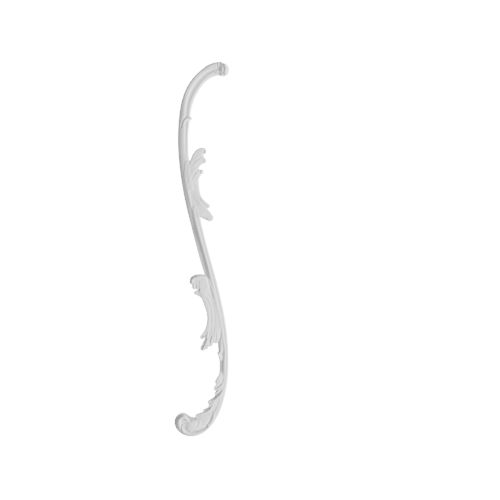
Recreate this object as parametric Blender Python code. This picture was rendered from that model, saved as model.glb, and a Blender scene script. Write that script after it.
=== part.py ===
"""A cast S-scroll onlay: two moulded scrolls back to back, two acanthus sprays and a leafy volute.

The casting is one solid with a flat back. It hangs upright on a wall: +Z is up, the wall is the
plane y = 0 and the relief stands out towards -Y. The origin is on the back, behind the middle of
the stem. The plan is drawn as strands: a profile carried along a smooth line through a few points.
"""

import bmesh
import bpy
import numpy as np

# Driving sizes, in metres
HEIGHT = 0.600
BEAD_DEPTH = 0.0125
WEB_DEPTH = 0.0085
LEAF_DEPTH = 0.0112
FAN_DEPTH = 0.0080
LOBE_DEPTH = 0.0120
TAIL_DEPTH = 0.0095
BARB_DEPTH = 0.0120
EYE_DEPTH = 0.0160
VOLUTE_DEPTH = 0.0160
CURL_DEPTH = 0.0165
BED_DEPTH = 0.0105
CURL_BED_DEPTH = 0.0145

# How the depth changes along the way, at even steps, as shares of a strand's own depth
BEAD_SWELL = (1.05, 1, 1, 1, 1, 0.95, 0.8, 0.7)
VOLUTE_SWELL = (0.8, 1, 1, 1, 1, 1, 1, VOLUTE_DEPTH / BEAD_DEPTH)
TAIL_SWELL = (0.8, 0.9, 1, 1, EYE_DEPTH / TAIL_DEPTH)
LOBE_SWELL = (0.6, 0.85, 1, 1.05, 1)
CURL_BED_SWELL = (0.35, 0.9, 1, 1)

# The upright edge that every strand keeps above the wall, as a share of its depth
FOOT = 0.30
# How deep the middle of a leaf lobe lies below its rims, as a share of its depth
CUP = 0.22
# Half the breadth of that hollow, as a share of half the lobe's width
CUP_REACH = 0.62
# How much the hollow beside a rim lies below it, as a share of the depth
HOLLOW = 0.32
# Where that rim's crest lies across the moulding, from -1 to 1, and its breadth
RIM_PLACE = -0.62
RIM_BREADTH = 0.30
# How strongly the rings of the volute are sunk, as a share of its depth
RING = 0.06
# How square the shoulders of a profile are: 2 is a half round
BEAD_FULLNESS = 2.6
LOBE_FULLNESS = 4.0
WEB_FULLNESS = 5.0
RING_FULLNESS = 3.2
# The share of its depth that a rounded end keeps at its very tip
TIP = 0.45
# How near a strand's inner side comes to the centre of a tight bend, as a share of its radius
TIGHT = 0.70

# The strands run on behind the wall, each a little further than the last, and are cut off there
SINK = 0.0020
SINK_STEP = 0.00004
# Room round the drawing for the block that cuts the back flat
CUTTER_MARGIN = 0.050

# The drawing's own height. Its places are millimetres from the origin, x to the right and z up,
# and a row is (x, z, width of the strand there). The whole drawing scales with HEIGHT.
DRAWN_HEIGHT = 600.0
SCALE = HEIGHT / DRAWN_HEIGHT

# Lines are traced at this spacing before stations are laid out along them
TRACE_STEP = 0.25
# The most that two stations lie apart, in the drawing's millimetres, and the most that a line
# turns between them, in degrees
STEM_SPACING = 13.0
LOBE_SPACING = 9.0
MOST_TURN = 16.0
# The number of points across a profile
STEM_ACROSS = 7
LOBE_ACROSS = 7
RING_ACROSS = 11
# Length of a rounded end, as a share of the strand's width there
NOSE = 0.6

# Outer bead of the upper scroll, along its outer edge from the curl down to the lower leaf
UPPER_BEAD = (
    (30, 299.8, 13.5), (18, 298.5, 12), (4.5, 292, 10.5), (-12.5, 277.5, 9.5), (-26, 258, 9.5),
    (-34.5, 233.5, 9.5), (-38.5, 205.5, 11), (-39.8, 175, 12), (-36.8, 129, 11),
    (-31, 90.5, 10.5), (-22.5, 52, 9), (-12.6, 13.5, 8), (-4, -18.5, 8), (4.8, -46.5, 7.5),
)
# Hollow and inner rim of the upper scroll, along its inner edge from the curl into the leaf
UPPER_WEB = (
    (27.5, 279, 11), (15, 275, 11.5), (4.2, 267.4, 12), (-5.2, 255.4, 12), (-12.8, 241, 12),
    (-18.2, 222.8, 11), (-20.4, 205.5, 8.5), (-22.4, 189.5, 7.5), (-22.9, 171.5, 7),
    (-22.7, 154, 7), (-20.5, 133, 8), (-14, 94.5, 8),
)
# Outer bead of the lower scroll, along its outer edge and on round the volute
LOWER_BEAD = (
    (-8, 70.5, 10), (-5.5, 59.5, 12), (-3.2, 48, 12), (4.6, 14.5, 11.8), (13.4, -18.5, 11.8),
    (22.4, -50.5, 12.5), (30, -82.5, 12.3), (36.3, -114.5, 12.5), (40.2, -147, 12.5), (41.5, -181.5, 10.5),
    (40.2, -210, 9.5), (36, -234, 9), (29.5, -256, 8.5), (15.5, -281.2, 7.5), (2, -294, 7),
    (-10.5, -299.3, 7), (-23, -300, 8), (-34.8, -295.5, 10.5), (-43.4, -286, 12), (-45.3, -275, 12),
    (-41, -266.2, 11), (-31.2, -262, 10), (-23, -265.8, 8.5), (-17.5, -271.6, 6.5),
)
# Narrow strip beside the lower bead, from the lower leaf to the tail, along its free edge
LOWER_STRIP = (
    (23.5, -134.5, 9.5), (25, -152.5, 9.5), (25, -163.5, 9.5), (26.5, -175, 9.5),
    (27, -187.5, 9.5), (26.5, -199, 9.5), (25, -208.5, 8),
)

# Sheets that carry the lobes of both sprays and of the tail, along their middles
UPPER_LEAF = (
    (-22.5, 141, 9.5), (-18.8, 123.5, 22), (-16.2, 99.5, 21.5), (-11.5, 78.5, 21), (-5.5, 59.5, 18),
    (-2, 52.5, 13),
)
UPPER_FAN = ((-21, 114, 9.5), (-15.5, 131.5, 14.5), (-7.5, 142, 14.5), (1, 148.5, 9.5))
LOWER_FAN = ((-19.5, 104.5, 9.5), (-14, 118.5, 13), (-7, 129, 6.5))
HOOK_FAN = ((9, -61.5, 15), (-3, -54.5, 16), (-16.2, -54, 13))
LOWER_LEAF = (
    (1.5, -49.5, 14.5), (6.5, -66, 22), (12.5, -85, 22.5), (17, -107.5, 20), (17.5, -126.5, 24),
    (16, -141, 24),
)
TAIL_LEAF = (
    (30, -200.5, 8), (28, -215, 9.5), (26.5, -229.5, 10.5), (20.5, -247.5, 13), (11.5, -264.5, 16),
    (-0.5, -277, 19), (-11.5, -283, 19), (-25, -284, 15),
)
# Beds under the rolls of the volute and of the curl
VOLUTE_BED = ((-4.5, -283.5, 23), (-20.5, -281.5, 26), (-41, -275.5, 25))
CURL_BED = ((12, 288, 15), (24, 288.5, 18.5), (33, 287, 21), (40.4, 286, 17))

# Lobes, each along its middle from its root to its tip, from the top of a spray downwards
UPPER_LOBES = (
    ((-21, 104.5, 8), (-19.5, 123.5, 10.5), (-14, 141.5, 11), (-7, 153, 12), (-0.5, 156.6, 11),
     (5.6, 155.4, 9.5)),
    ((-21, 94.5, 6.5), (-17, 118.5, 9.5), (-10.5, 133, 11), (-2.5, 140.5, 10), (5.6, 141, 7.5)),
    ((-18, 85, 6.5), (-15, 104.5, 9), (-9.5, 117, 10.5), (-4.5, 122.5, 8), (1.6, 124.3, 7)),
    ((-15.5, 104.5, 6.5), (-10.5, 87, 10.5), (-2, 75.5, 11), (5, 70.3, 9), (11, 67.3, 7)),
    ((-16.5, 94.5, 8), (-10.5, 74, 13.5), (-1, 60.2, 18), (8.2, 52.8, 15), (14.8, 47.4, 8.5)),
)
LOWER_LOBES = (
    ((17.5, -62.5, 8), (10, -51.5, 11), (0.5, -46.2, 11.5), (-8.5, -45.8, 11), (-15, -48.5, 10.5),
     (-16.8, -56.5, 8)),
    ((18, -85, 6.5), (11.5, -66, 9.5), (3, -56.5, 10.5), (-6, -54.5, 11), (-11.6, -57.3, 10),
     (-13, -64, 7)),
    ((11.5, -75.5, 6.5), (4.5, -64, 7), (-2.5, -60.5, 6.5), (-6.5, -62, 6), (-8, -65.5, 4.5)),
    ((16.5, -104.5, 6.5), (11.5, -88, 8.5), (4, -77.5, 9.5), (-4.5, -71.5, 8.5), (-13.5, -69.5, 6)),
    ((13.5, -98, 6.5), (11.5, -117, 8.5), (6.5, -132, 8.5), (-3, -143, 6.5)),
    ((17.5, -110.5, 6.5), (14, -133, 10.5), (6.5, -149, 11), (-1.5, -161.5, 8)),
    ((14, -136.5, 6.5), (9, -149, 8), (5, -160, 6)),
    ((20.5, -110.5, 6.5), (18, -133, 9), (14.5, -145, 9.5), (11.5, -155.5, 7.5)),
    ((24, -110.5, 6.5), (23.5, -131, 9.5), (22, -142, 9.5), (20.5, -150.5, 6.5)),
)
TAIL_LOBES = (
    ((33.5, -191, 6.5), (30, -202, 8), (25, -209.5, 7.5), (21.2, -214.5, 5.5)),
    ((34, -203.5, 6.5), (31, -212.5, 9.5), (26, -219, 9.5), (18.8, -224.5, 6.5)),
    ((35, -219.5, 6.5), (29, -227, 8), (19.8, -232.5, 6)),
    ((34, -228, 6.5), (27, -236.5, 10.5), (19.5, -241, 8.5), (8.8, -246.5, 6.5)),
    ((29.5, -239, 6.5), (20.5, -247.5, 8.5), (9.8, -252, 6)),
    ((26, -245.5, 6.5), (16.5, -253.5, 10.5), (9.5, -257.5, 8.5), (0.5, -260.5, 6.5)),
    ((16.5, -256.5, 8), (6, -264.5, 11), (-3, -267.5, 10.5), (-11.5, -269, 7.5)),
)
# Small husks where a leaf tip leaves the moulding, on the upper scroll and on the lower one
HUSKS = (
    ((-32, 186, 4), (-31, 197.5, 5), (-27, 205.5, 6), (-17, 209.5, 4.5)),
    ((30, -181.5, 5), (29, -174, 6.5), (27.5, -169.5, 6), (24, -165.5, 4)),
)
# Rolls of the curl that ends the upper scroll, from its neck outwards
CURL_ROLLS = (
    ((22.5, 297, 5), (27, 288, 6.5), (24, 280, 5)),
    ((29, 298.5, 6), (33.5, 287.5, 7.5), (31, 278.5, 6.5)),
    ((34.5, 296, 5), (38, 286.5, 6.2), (35.5, 277.6, 6.5)),
)


def clear_scene():
    for old in list(bpy.data.objects):
        bpy.data.objects.remove(old, do_unlink=True)


def smooth_rows(rows):
    """The rows of the natural cubic spline through a few rows, at a fine even spacing."""
    rows = np.array(rows, float)
    chord = np.concatenate([[0.0], np.cumsum(np.hypot(*np.diff(rows[:, :2], axis=0).T))])
    gap = np.diff(chord)
    count = len(rows)
    matrix = np.eye(count)
    bend = np.zeros_like(rows)
    for i in range(1, count - 1):
        matrix[i, i - 1:i + 2] = gap[i - 1], 2 * (gap[i - 1] + gap[i]), gap[i]
        bend[i] = 6 * ((rows[i + 1] - rows[i]) / gap[i] - (rows[i] - rows[i - 1]) / gap[i - 1])
    bend = np.linalg.solve(matrix, bend)
    at = np.arange(0.0, chord[-1], TRACE_STEP)
    at = np.append(at, chord[-1])
    i = np.clip(np.searchsorted(chord, at, side="right") - 1, 0, count - 2)
    left = (chord[i + 1] - at)[:, None]
    right = (at - chord[i])[:, None]
    width = gap[i][:, None]
    return (
        (bend[i] * left**3 + bend[i + 1] * right**3) / (6 * width)
        + (rows[i] / width - bend[i] * width / 6) * left
        + (rows[i + 1] / width - bend[i + 1] * width / 6) * right
    )


def trace(rows):
    """A strand's smooth line: distance along it, x, z, width, heading and turn per millimetre."""
    fine = smooth_rows(rows)
    slope = np.gradient(fine[:, :2], axis=0)
    step = np.hypot(*np.diff(fine[:, :2], axis=0).T)
    along = np.concatenate([[0.0], np.cumsum(step)])
    heading = np.unwrap(np.arctan2(slope[:, 1], slope[:, 0]))
    turn = np.gradient(heading, along)
    return along, np.column_stack([fine, heading, turn])


def stations(rows, spacing, round_start, round_end):
    """The traced line at a few places, with their roundness and their shares of its length.

    Stations lie closer together where the line turns and where an end is rounded. Roundness falls
    from 1 over the last stretch of a rounded end, like the outline of a half circle.
    """
    along, line = trace(rows)
    length = along[-1]
    rate = 1 / spacing + np.abs(line[:, 4]) / np.radians(MOST_TURN)
    effort = np.concatenate([[0.0], np.cumsum(np.diff(along) * (rate[1:] + rate[:-1]) / 2)])
    start = NOSE * line[0, 2] if round_start else 0.0
    end = NOSE * line[-1, 2] if round_end else 0.0
    first, last = np.interp((start, length - end), along, effort)
    count = max(2, int(np.ceil(last - first)))
    at = np.interp(np.linspace(first, last, count + 1), effort, along)
    nose = np.array([0.0, 0.12, 0.45])
    if round_start:
        at = np.concatenate([start * nose, at])
    if round_end:
        at = np.concatenate([at, length - end * nose[::-1]])
    places = np.stack([np.interp(at, along, column) for column in line.T], axis=1)
    roundness = np.ones(len(at))
    for reach, distance in ((start, at), (end, length - at)):
        if reach:
            near = np.clip(distance / reach, 0.02, 1.0)
            roundness = np.minimum(roundness, np.sqrt(1 - (1 - near) ** 2))
    return places, roundness, at / length


def dome(across, fullness=BEAD_FULLNESS):
    """A rounded moulding: 0 at its edges and 1 at its crest."""
    return (1 - np.abs(across) ** fullness) ** (1 / fullness)


def cupped(across):
    """A leaf lobe: a shallow hollow between two rims."""
    hollow = 1 - np.minimum(1, (across / CUP_REACH) ** 2)
    return dome(across, LOBE_FULLNESS) * (1 - CUP * hollow)


def rimmed(across):
    """A hollow with a rim beside its left-hand edge, falling away to the right."""
    rim = np.exp(-(((across - RIM_PLACE) / RIM_BREADTH) ** 2))
    return dome(across, WEB_FULLNESS) * (1 - HOLLOW * (1 - rim))


def ringed(across):
    """A broad roll with two sunk rings, seen in the volute."""
    return dome(across, RING_FULLNESS) * (1 - RING - RING * np.cos(1.5 * np.pi * (across + 1)))


def across_points(count):
    """Places across a strand from -1 to 1, closer together towards its edges."""
    return -np.cos(np.linspace(0.0, np.pi, count))


def reaches(places, across, hang):
    """How far each point of each ring lies to the right of its line.

    The inner side of a tight bend is drawn in, so that a strand never folds over itself.
    """
    width, turn = places[:, 2:3], places[:, 4:5]
    share = (np.concatenate([[-1.0], across, [1.0]]) - hang) / 2
    reach = share * width
    most = np.abs(reach * (reach * turn < 0)).max(axis=1, keepdims=True)
    room = TIGHT / np.maximum(np.abs(turn), 1e-6)
    inner = np.minimum(1.0, room / np.maximum(most, 1e-6))
    return np.where(reach * turn < 0, reach * inner, reach)


def split_into_triangles(mesh):
    """Every face becomes triangles, so that the joined surface stays flat between its edges."""
    faces = bmesh.new()
    faces.from_mesh(mesh)
    bmesh.ops.triangulate(faces, faces=faces.faces)
    faces.to_mesh(mesh)
    faces.free()
    mesh.shade_smooth()


def closed_strand(name, places, rises, across, hang, sink):
    """A closed mesh: one ring for each station, its back behind the wall.

    hang is -1 where the rows run along the strand's left-hand edge, 1 where they run along its
    right-hand edge and 0 where they run along its middle.
    """
    reach = reaches(places, across, hang)
    heading = places[:, 3:4]
    x = places[:, 0:1] + np.sin(heading) * reach
    z = places[:, 1:2] - np.cos(heading) * reach
    back = np.full((len(places), 1), sink)
    y = np.concatenate([back, -rises, back], axis=1)
    points = np.stack([x * SCALE, y, z * SCALE], axis=2).reshape(-1, 3)
    ring = len(across) + 2
    faces = []
    for s in range(len(places) - 1):
        for i in range(ring):
            j = (i + 1) % ring
            a = s * ring
            b = a + ring
            faces.append((a + i, a + j, b + j, b + i))
    faces.append(tuple(range(ring - 1, -1, -1)))
    faces.append(tuple(range(len(points) - ring, len(points))))
    mesh = bpy.data.meshes.new(name)
    mesh.from_pydata(points.tolist(), [], faces)
    split_into_triangles(mesh)
    return bpy.data.objects.new(name, mesh)


class Casting:
    """The strands of the casting, gathered in one collection to be joined."""

    def __init__(self):
        self.strands = bpy.data.collections.new("strands")
        bpy.context.scene.collection.children.link(self.strands)

    def add(self, name, rows, depth, profile, across_count, spacing, hang=0, ends=(False, False),
            swell=(1, 1)):
        """One strand. swell gives its depth at even steps along the way, as shares of depth."""
        places, roundness, share = stations(rows, spacing, *ends)
        places[:, 2] *= roundness
        depth_here = depth * (TIP + (1 - TIP) * roundness)
        depth_here *= np.interp(share, np.linspace(0, 1, len(swell)), swell)
        across = across_points(across_count)
        rises = depth_here[:, None] * (FOOT + (1 - FOOT) * profile(across))
        sink = SINK + SINK_STEP * len(self.strands.objects)
        strand = closed_strand(name, places, rises, across, hang, sink)
        strand.hide_render = True
        strand.display_type = "WIRE"
        self.strands.objects.link(strand)


def add_mouldings(casting):
    """The upper scroll's bead and hollow, and the lower scroll's strip."""
    casting.add("upper_bead", UPPER_BEAD, BEAD_DEPTH, dome, STEM_ACROSS, STEM_SPACING, 1,
                swell=BEAD_SWELL)
    casting.add("upper_web", UPPER_WEB, WEB_DEPTH, rimmed, STEM_ACROSS, STEM_SPACING, -1)
    casting.add("lower_strip", LOWER_STRIP, WEB_DEPTH, dome, STEM_ACROSS, STEM_SPACING, 1)


def add_volute_bead(casting):
    """The lower scroll's bead, which broadens into the rolls round the volute."""
    casting.add("lower_bead", LOWER_BEAD, BEAD_DEPTH, ringed, RING_ACROSS, STEM_SPACING, -1,
                ends=(True, True), swell=VOLUTE_SWELL)
    casting.add("volute_bed", VOLUTE_BED, BED_DEPTH, dome, LOBE_ACROSS, LOBE_SPACING, ends=(True, True))


def add_sheets(casting):
    """The sheets that carry the lobes of both sprays and of the tail."""
    for name, rows in {"upper_leaf": UPPER_LEAF, "lower_leaf": LOWER_LEAF}.items():
        casting.add(name, rows, LEAF_DEPTH, dome, LOBE_ACROSS, STEM_SPACING)
    fans = {"upper_fan": UPPER_FAN, "lower_fan": LOWER_FAN, "hook_fan": HOOK_FAN}
    for name, rows in fans.items():
        casting.add(name, rows, FAN_DEPTH, dome, LOBE_ACROSS, STEM_SPACING, ends=(False, True))
    casting.add("tail_leaf", TAIL_LEAF, TAIL_DEPTH, dome, LOBE_ACROSS, LOBE_SPACING, ends=(False, True),
                swell=TAIL_SWELL)


def add_lobes(casting, family, lobes, depth):
    """Leaf lobes, low at the root and highest just short of the tip."""
    for number, rows in enumerate(lobes, 1):
        casting.add(f"{family}_{number}", rows, depth, cupped, LOBE_ACROSS, LOBE_SPACING,
                    ends=(False, True), swell=LOBE_SWELL)


def add_curl(casting):
    """The rolled end of the upper scroll."""
    casting.add("curl_bed", CURL_BED, CURL_BED_DEPTH, dome, LOBE_ACROSS, LOBE_SPACING, ends=(False, True),
                swell=CURL_BED_SWELL)
    for number, rows in enumerate(CURL_ROLLS, 1):
        casting.add(f"curl_roll_{number}", rows, CURL_DEPTH, dome, LOBE_ACROSS, LOBE_SPACING,
                    ends=(True, True))


def wall_block():
    """The space behind the wall plane, which cuts the back flat."""
    half = HEIGHT / 2 + CUTTER_MARGIN
    points = [(x, y, z) for x in (-half, half) for y in (0.0, CUTTER_MARGIN) for z in (-half, half)]
    faces = [(0, 1, 3, 2), (4, 6, 7, 5), (0, 4, 5, 1), (2, 3, 7, 6), (0, 2, 6, 4), (1, 5, 7, 3)]
    mesh = bpy.data.meshes.new("wall_block")
    mesh.from_pydata(points, [], faces)
    block = bpy.data.objects.new("wall_block", mesh)
    block.hide_render = True
    block.display_type = "WIRE"
    bpy.context.scene.collection.objects.link(block)
    return block


def plaster():
    """Matt white casting plaster."""
    material = bpy.data.materials.new("cast_plaster")
    material.use_nodes = True
    shader = material.node_tree.nodes["Principled BSDF"]
    shader.inputs["Base Color"].default_value = (0.80, 0.80, 0.79, 1.0)
    shader.inputs["Roughness"].default_value = 0.75
    shader.inputs["Metallic"].default_value = 0.0
    return material


def join_casting(casting):
    """The whole casting: every strand united, then cut off flat at the wall."""
    first = casting.strands.objects[0]
    onlay = bpy.data.objects.new("scroll_onlay", first.data)
    bpy.context.scene.collection.objects.link(onlay)
    casting.strands.objects.unlink(first)
    onlay.data.materials.append(plaster())
    union = onlay.modifiers.new("join_strands", "BOOLEAN")
    union.operation = "UNION"
    union.operand_type = "COLLECTION"
    union.collection = casting.strands
    cut = onlay.modifiers.new("flat_back", "BOOLEAN")
    cut.operation = "DIFFERENCE"
    cut.object = wall_block()
    return onlay


def main():
    clear_scene()
    casting = Casting()
    add_mouldings(casting)
    add_volute_bead(casting)
    add_sheets(casting)
    add_lobes(casting, "upper_lobe", UPPER_LOBES, LOBE_DEPTH)
    add_lobes(casting, "lower_lobe", LOWER_LOBES, LOBE_DEPTH)
    add_lobes(casting, "tail_lobe", TAIL_LOBES, BARB_DEPTH)
    add_lobes(casting, "husk", HUSKS, LOBE_DEPTH)
    add_curl(casting)
    join_casting(casting)


main()
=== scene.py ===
"""The finished look of a cast S-scroll onlay: one matt white relief with two sprays and a volute.

The relief is a height over the wall plane, worked out at every place of a fine grid. The drawing
is a set of strands: a profile carried along a smooth line through a few points. Where strands
meet, their heights melt into each other as in a casting. The wall is the plane y = 0 and the
relief stands out towards -Y.
"""

import bmesh
import bpy
import numpy as np
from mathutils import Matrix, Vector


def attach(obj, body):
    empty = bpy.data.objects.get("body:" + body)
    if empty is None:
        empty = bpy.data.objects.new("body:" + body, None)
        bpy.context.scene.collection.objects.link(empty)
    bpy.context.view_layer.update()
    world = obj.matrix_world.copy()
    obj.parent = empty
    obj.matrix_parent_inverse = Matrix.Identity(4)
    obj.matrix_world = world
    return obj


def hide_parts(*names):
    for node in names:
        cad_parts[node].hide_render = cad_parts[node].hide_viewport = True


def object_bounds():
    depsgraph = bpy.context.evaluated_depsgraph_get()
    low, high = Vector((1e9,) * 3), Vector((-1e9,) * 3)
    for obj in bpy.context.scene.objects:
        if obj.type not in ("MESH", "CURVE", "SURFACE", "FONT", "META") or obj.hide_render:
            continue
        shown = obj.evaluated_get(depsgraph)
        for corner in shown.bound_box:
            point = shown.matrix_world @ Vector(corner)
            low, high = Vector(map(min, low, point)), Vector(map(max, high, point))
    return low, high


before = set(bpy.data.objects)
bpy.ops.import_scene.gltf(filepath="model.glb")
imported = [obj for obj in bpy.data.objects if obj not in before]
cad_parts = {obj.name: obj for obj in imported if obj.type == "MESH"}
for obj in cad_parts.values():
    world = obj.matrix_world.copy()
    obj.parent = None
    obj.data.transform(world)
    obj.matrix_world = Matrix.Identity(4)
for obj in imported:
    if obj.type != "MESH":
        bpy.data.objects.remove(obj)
cad_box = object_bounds()

# Driving sizes: how far each kind of form stands out from the wall, in millimetres
BEAD = 12.5
WEB = 12.2
STRIP = 10.5
RIDGE = 12.0
LEAF = 12.2
LOWER_SHEET = 12.9
FAN = 12.6
HOOK = 12.0
LOBE = 12.4
HOOK_LOBE = 14.0
HUSK = 13.0
TAIL = 12.2
BARB = 12.4
EYE = 16.0
CURL = 16.5
BED = 14.4
CURL_BED = 14.5
# The tallest and the lowest place of the relief
MOST = 16.5
LEAST = 3.0
# Millimetres in a metre
MM = 1000.0

# The grid's spacing, and the spacing at which lines are traced
GRID = 0.5
TRACE = 0.25
# The number of traced points that are looked at together
BLOCK = 80
# The height of the upright edge of a strand, as a share of its depth: of a rounded moulding, of a
# sheet or lobe, and of the gently rounded stem
FOOT = 0.25
SHEET_FOOT = 0.55
LOBE_FOOT = 0.8
STEM_FOOT = 0.6
# The slope at which a strand's side goes down beyond its edge
SIDE = 7.0
# The breadth over which heights melt into each other: of mouldings, lobes, sheets and outlines
MELT = 1.1
MELT_LOBE = 1.8
MELT_SHEET = 3.5
MELT_EDGE = 0.8
# How square a plain moulding's shoulders are
SHOULDER = 2.6
# The points in which a profile's table is kept, and how many of them are blended at its corners
SECTION_POINTS = 201
SOFT_POINTS = 31
# A height that is below everything
FAR_BELOW = -50.0
# The casting's waviness: each wave's length in millimetres, its direction in radians and its height
# in millimetres, and how much longer the crossing wave is
WAVES = ((4.1, 0.4, 0.07), (2.3, 1.9, 0.03), (1.3, 2.7, 0.012))
WAVE_RATIO = 1.37
# Room round the drawing for the grid
MARGIN = 3.0
# How often cells that touch at a corner are joined
JOIN_STEPS = 4
# How a border place finds the outline: its steps, the least slope, and the most shift in cells, and
# the number of places over which the shift fades inwards
SNAP_STEPS = 4
LEAST_SLOPE = 1e-3
MOST_SHIFT = 0.8
FADE_STEPS = 3
# How often the heights along the border are evened
EVEN_STEPS = 4
# How often the height is blurred to find the hollows, and the least share of the blur that counts
BLUR_STEPS = 24
LEAST_SHARE = 1e-3
# Edges sharper than this angle stay sharp in the shading. A face is upright when its normal points
# less than this towards the wall or away from it.
SHARP = np.radians(60)
UPRIGHT = 1e-3

# Colours of the plaster
WHITE = (0.78, 0.78, 0.78, 1)
WARM_WHITE = (0.775, 0.77, 0.76, 1)
SHADED_WHITE = (0.74, 0.74, 0.735, 1)
# Dust and painted shade: the darker grey blended into the hollows, where it stands in for the shade
# that falls there
DUST_AND_SHADE = (0.60, 0.595, 0.58, 1)
BACK_GREY = (0.55, 0.545, 0.53, 1)
# The plaster's noises, each as its scale and detail: the broad tint, the fine mottle, the grain and
# the marks of the board across the back. Then the board marks' stretch and the pores' scale.
BROAD_NOISE = (22.0, 3.0)
MOTTLE_NOISE = (260.0, 4.0)
GRAIN_NOISE = (900.0, 3.0)
BOARD_NOISE = (160.0, 2.0)
BOARD_STRETCH = (0.06, 1, 1)
EVEN_STRETCH = (1, 1, 1)
PORE_SCALE = 420.0
# How values are spread: the low and high end of what is given, and what these two become
BROAD_SPREAD = (0.35, 0.65, 0.0, 1.0)
MOTTLE_SPREAD = (0.3, 0.7, 0.0, 1.0)
SHADED_SPREAD = (0.0, 1.0, 0.0, 0.35)
# The spread of the hollows' depth into the share of dust and painted shade
DUST_AND_SHADE_SPREAD = (0.4, 1.8, 0.0, 0.4)
BACK_SPREAD = (0.35, 1.0, 0.0, 0.75)
ROUGH_SPREAD = (0.0, 1.0, 0.66, 0.84)
PORE_SPREAD = (0.05, 0.22, 0.0, 1.0)
# The pores' share of the fine surface, the sheen, and the strength and height of the bump
PORE_SHARE = 0.35
SPECULAR = 0.3
BUMP_STRENGTH = 0.35
BUMP_HEIGHT = 0.0002
# Sockets of the colour mix node: its share, its two colours and its result
MIX_SHARE = 0
MIX_FIRST = 6
MIX_SECOND = 7
MIX_RESULT = 2

# The photograph's frame: 500 pixels cover this breadth at the relief, and its middle lies here
FRAME_BREADTH = 0.802
FRAME_MIDDLE_X = 0.0759
FRAME_MIDDLE_Z = -0.0016
LENS = 100.0
SENSOR = 36.0
# The surround's colour, and its strength as the camera sees it and as it lights the casting
SURROUND = (1, 1, 1, 1)
SEEN_STRENGTH = 18.0
LIT_STRENGTH = 0.55
# The key light, soft and from the camera's right, a little low
KEY_FROM = (0.9, -0.42, -0.08)
KEY_DISTANCE = 1.6
KEY_SIZE = 1.2
KEY_POWER = 107.0
# The floor: its level, half its breadth, and its reach in front of and behind the wall plane
FLOOR_LEVEL = -1.0
FLOOR_HALF = 0.6
FLOOR_REACH = (-0.8, 0.15)
FLOOR_COLOUR = (0.85, 0.85, 0.85, 1)
FLOOR_ROUGHNESS = 0.9

# Outer bead of the upper scroll, along its outer edge from the curl down to the lower leaf. Every
# row is (x, z, width of the strand there), in millimetres from the middle of the stem.
UPPER_BEAD = (
    (30, 299.8, 13.5), (18, 298.5, 12), (4.5, 292, 10.5), (-12.5, 277.5, 9.5), (-26, 258, 9.5),
    (-34.5, 233.5, 9.5), (-38.5, 205.5, 11), (-39.8, 175, 12), (-36.8, 129, 11),
    (-31, 90.5, 10.5), (-22.5, 52, 9), (-12.6, 13.5, 8), (-4, -18.5, 8), (4.8, -46.5, 7.5),
)
# Hollow and inner rim of the upper scroll, along its inner edge from the curl into the leaf
UPPER_WEB = (
    (27.5, 279, 11), (15, 275, 11.5), (4.2, 267.4, 12), (-5.2, 255.4, 12), (-12.8, 241, 12),
    (-18.2, 222.8, 11), (-20.4, 205.5, 8.5), (-22.4, 189.5, 7.5), (-22.9, 171.5, 7),
    (-22.7, 154, 7), (-20.5, 133, 8), (-14, 94.5, 8),
)
# Outer bead of the lower scroll, along its outer edge and on round the volute
LOWER_BEAD = (
    (-8, 70.5, 13), (-5.5, 59.5, 14.5), (-3.2, 48, 14), (4.6, 14.5, 12.5), (13.4, -18.5, 11.8),
    (22.4, -50.5, 13.5), (30, -82.5, 13.5), (36.3, -114.5, 13), (40.2, -147, 12), (41.2, -164, 9.5),
    (41.5, -181.5, 11.5),
    (40.2, -210, 9.5), (36, -234, 9), (29.5, -256, 8.5), (15.5, -281.2, 7.5), (2, -294, 7),
    (-10.5, -299.3, 7), (-23, -300, 8), (-34.8, -295.5, 10.5), (-43.4, -286, 12), (-45.3, -275, 12),
    (-41, -266.2, 11), (-31.2, -262, 10), (-23, -265.8, 8.5), (-17.5, -271.6, 6.5),
)
# Low strip beside the lower bead, along its free edge, and the ridge that runs down into its husk
LOWER_STRIP = (
    (25, -160.5, 9), (26.5, -173, 9), (27, -186, 9), (26.5, -198, 9), (24, -208.5, 8),
)
STRIP_RIDGE = (
    (31, -130, 7), (30.5, -143, 10), (29.5, -155.5, 10.5), (28.5, -164.5, 7.5), (25.5, -168.5, 4.5),
)

# Sheets that carry the lobes of both sprays and of the tail, along their middles
UPPER_LEAF = (
    (-22.5, 141, 9.5), (-18.8, 123.5, 22), (-16.2, 99.5, 21.5), (-11.5, 78.5, 21), (-5.5, 59.5, 18),
    (-2, 52.5, 13),
)
UPPER_FAN = ((-21, 114, 9.5), (-15.5, 131.5, 14.5), (-7.5, 142, 14.5), (1, 148.5, 9.5))
LOWER_FAN = ((-19.5, 104.5, 9.5), (-14, 118.5, 13), (-7, 129, 6.5))
HOOK_FAN = ((9, -61.5, 15), (-3, -54.5, 16), (-16.2, -54, 13))
LOWER_LEAF = (
    (1.5, -49.5, 14.5), (6.5, -66, 22), (12.5, -85, 22.5), (17, -107.5, 20), (17.5, -126.5, 24),
    (16, -141, 24),
)
TAIL_LEAF = (
    (30, -200.5, 8), (28, -215, 9.5), (26.5, -229.5, 10.5), (20.5, -247.5, 13), (11.5, -264.5, 16),
    (-0.5, -277, 19), (-11.5, -283, 19), (-25, -284, 15),
)
# Beds under the rolls of the volute and of the curl
VOLUTE_BED = ((-4.5, -283.5, 23), (-20.5, -281.5, 26), (-41, -275.5, 25))
CURL_FLOOR = ((6, 287.5, 11), (16, 290.5, 14), (25, 289, 20.5), (33, 287, 21), (40.4, 286, 17))

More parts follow.
